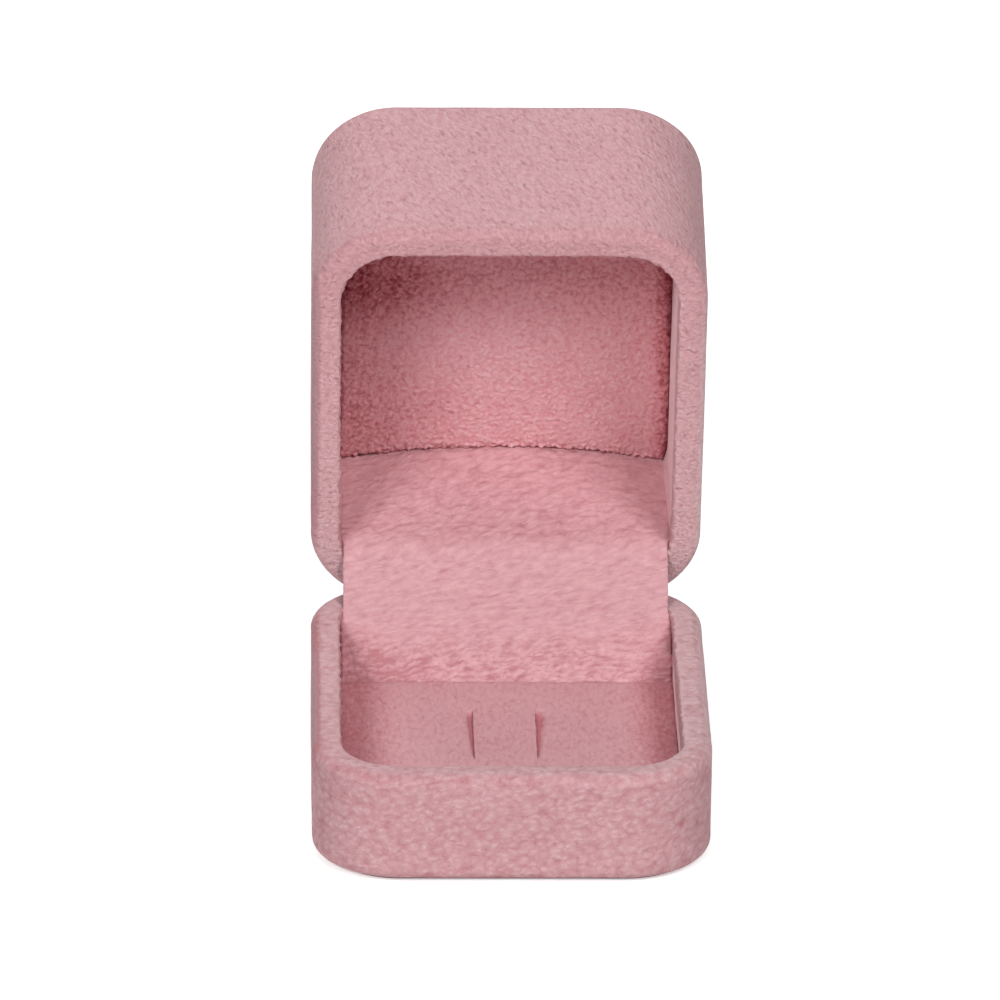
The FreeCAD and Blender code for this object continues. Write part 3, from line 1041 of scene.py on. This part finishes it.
path, bend_first, bend_last = flap_path()
travel = [0.0]
for before, after in zip(path, path[1:]):
    travel.append(travel[-1] + (after - before).length)
flap_length = travel[-1]
bend_start = (bend_first - path[0]).length
across = [(x, 0, 0) for x in spaced([-flap_half, flap_half], flap_step)]
across = ([(-flap_half, -out, down) for out, down in reversed(flap_turn)] + across
          + [(flap_half, out, down) for out, down in flap_turn])
points = []
lay = []
for index, ((y, z), along) in enumerate(zip(path, travel)):
    onward = path[min(index + 1, len(path) - 1)] - path[max(index - 1, 0)]
    below = Vector((onward.y, -onward.x)).normalized()
    raised = eased(bend_start + 4 * mm, flap_length - flap_tuck, along)
    boxed_in = 1 - eased(14.5 * mm, 16.5 * mm, along) * (1 - eased(25 * mm, 27.5 * mm, along))
    low_down = 1 - eased(0, bend_start, along)
    for x, out, down in across:
        crown = raised * flap_crown(x) - droop * eased(9 * mm, flap_half, abs(x)) * low_down
        points.append(Vector((
            x + out * boxed_in,
            y - crown * math.cos(2 * half_opening) + below.x * down,
            z + crown * math.sin(2 * half_opening) + below.y * down)))
        lay.append(Vector((x + out, min(along, bend_start) + 0.55 * max(along - bend_start, 0), 0)))
faces = grid_faces(len(path), len(across))


def creased(place):
    """Share of the creasing at a place along the flap: deepest low down, where it bends most often."""
    low_down = 1 - eased(8 * mm, 15 * mm, place.y)
    past_bend = eased(bend_start + 2 * mm, 26 * mm, place.y)
    return 0.25 + 0.75 * low_down + 0.25 * past_bend


def flap_puff(place):
    """1 on the puffs of the flap's nap, 0 in its long wavy creases, and between in the short ones."""
    slow = noise.noise(Vector((place.x / (5 * mm), place.y / (3.5 * mm), 0)))
    quick = noise.noise(Vector((place.x / (1.7 * mm), place.y / (1.4 * mm), 4)))
    wave = place.y / crease_pitch + 0.9 * slow + 0.6 * quick
    crease = round(wave)
    depth = eased(-0.35, 0.1, noise.noise(Vector((place.x / (2.6 * mm), 3.7 * crease, 9))))
    long_one = 1 - depth * (1 - min(abs(wave - crease) / 0.24, 1))
    spot = Vector((place.x / (1.25 * mm) + 0.5 * quick, wave, 0))
    near, next_near = noise.voronoi(spot)[0][:2]
    return long_one ** 0.8 * (0.4 + 0.6 * min((next_near - near) * 4, 1))


def flap_wrinkle(place):
    slow = 0.12 * mm * noise.noise(place / (7 * mm))
    return 0.26 * mm * creased(place) * (flap_puff(place) - 0.7) + slow


def flap_shade(place):
    """Painted shade in the creases and on the turned edges, and painted light in the upper corners.

    A painted shadow darkens the two lower corners.
    """
    slope = 0.59 if place.x < 0 else 1.5
    # Painted shadow in the two lower corners.
    corner = eased(-1 * mm, 2 * mm, 14.4 * mm - slope * (flap_half - abs(place.x)) - place.y)
    # Painted light in the upper corners, and painted shade on the turned edges.
    upper = eased(bend_start, 30 * mm, place.y) * eased(8 * mm, 20 * mm, abs(place.x))
    upper *= 0.22 if place.x > 0 else 0.14
    upper -= 0.15 * eased(0.1 * mm, 0.4 * mm, abs(place.x) - flap_half)
    return 0.1 - 0.2 * corner + upper - 0.42 * creased(place) * (1 - flap_puff(place))


hinge_flap = laid_piece("hinge_flap", points, faces, as_placed, lay, flap_shade)
push_out(hinge_flap, flap_wrinkle)
thicken(hinge_flap, flap_thickness)
brushed_suede(
    "flap_suede", (flap_deep, flap_rose, flap_pale), (1.7, 0.62, 1), lean=((0, 0, 1), -12),
    relief=1.0, parting=1.1, swelling=1.1, pitting=0.4, sheen=0.06).paint(hinge_flap)
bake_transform(hinge_flap)
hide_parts("hinge_flap_suede", "hinge_flap_backing")

# Studio
# A white sweep of paper, soft light from above and from both sides, and a long lens from the front.
floor_mesh = bpy.data.meshes.new("floor")
floor_mesh.from_pydata([(-6, -6, 0), (6, -6, 0), (6, 6, 0), (-6, 6, 0)], [], [(0, 1, 2, 3)])
floor = bpy.data.objects.new("floor", floor_mesh)
bpy.context.scene.collection.objects.link(floor)


def white_paper():
    finish = Finish("white_paper")
    place = finish.node("TexCoord", {}, {}, "Object")
    tooth = finish.node("TexNoise", {}, {"Vector": place, "Scale": 300.0, "Detail": 3.0})
    rays = ("Is Camera Ray", "Is Glossy Ray", "Is Transmission Ray")
    seen = sum(finish.node("LightPath", {}, {}, ray) for ray in rays)
    glow = finish.node("Mix", {"data_type": "RGBA"}, {0: seen, 6: (0, 0, 0, 1), 7: (0.5, 0.5, 0.5, 1)}, 2)
    finish.shade(Base_Color=(0.92, 0.92, 0.92, 1), Roughness=0.9 + 0.05 * tooth, Specular_IOR_Level=0.1)
    finish.shade(Emission_Color=glow, Emission_Strength=1.0)
    return finish


white_paper().paint(floor)


def softbox(name, place, size, power):
    lamp = bpy.data.lights.new(name, "AREA")
    lamp.size = size
    lamp.energy = power
    lit = bpy.data.objects.new(name, lamp)
    lit.location = place
    throw = Vector((0, 0.01, 0.04)) - Vector(place)
    lit.rotation_euler = throw.to_track_quat("-Z", "Y").to_euler()
    bpy.context.scene.collection.objects.link(lit)


softbox("left_key", (-0.391, -0.720, 0.604), size=0.3, power=4.85)
softbox("right_key", (0.32, -0.645, 0.72), size=0.3, power=5.2)
softbox("overhead", (0.0, -0.09, 1.02), size=0.45, power=2.0)
softbox("back_light", (-0.3, 0.85, 0.55), size=0.5, power=3.0)

world = bpy.data.worlds.new("studio")
world.use_nodes = True
backdrop = world.node_tree.nodes["Background"]
backdrop.inputs["Color"].default_value = (1, 1, 1, 1)
backdrop.inputs["Strength"].default_value = 0.04
bpy.context.scene.world = world
bpy.context.scene.view_settings.view_transform = "Standard"

elevation = math.radians(24.63)
yaw = math.radians(1.46)
roll = math.radians(0.68)
focal_pixels = 10856
frame_pixels = 1000
rim_centre = Vector((0, 0, base_height))
rim_in_frame = Vector((9.22, -178.32, -focal_pixels))
distance = 1.5104
sight = Vector((
    math.sin(yaw) * math.cos(elevation), math.cos(yaw) * math.cos(elevation), -math.sin(elevation)))
right = Vector((math.cos(yaw), -math.sin(yaw), 0))
up = Vector((
    math.sin(yaw) * math.sin(elevation), math.cos(yaw) * math.sin(elevation), math.cos(elevation)))
level_right = right * math.cos(roll) + up * math.sin(roll)
level_up = up * math.cos(roll) - right * math.sin(roll)
stance = Matrix((level_right, level_up, -sight)).transposed().to_quaternion()
swing = rim_in_frame.rotation_difference(Vector((0, 0, -1)))
lens = bpy.data.cameras.new("camera")
lens.sensor_width = 36
lens.lens = lens.sensor_width * focal_pixels / frame_pixels
camera = bpy.data.objects.new("camera", lens)
camera.rotation_mode = "QUATERNION"
camera.rotation_quaternion = stance @ swing
camera.location = rim_centre - sight * distance
bpy.context.scene.collection.objects.link(camera)
bpy.context.scene.camera = camera
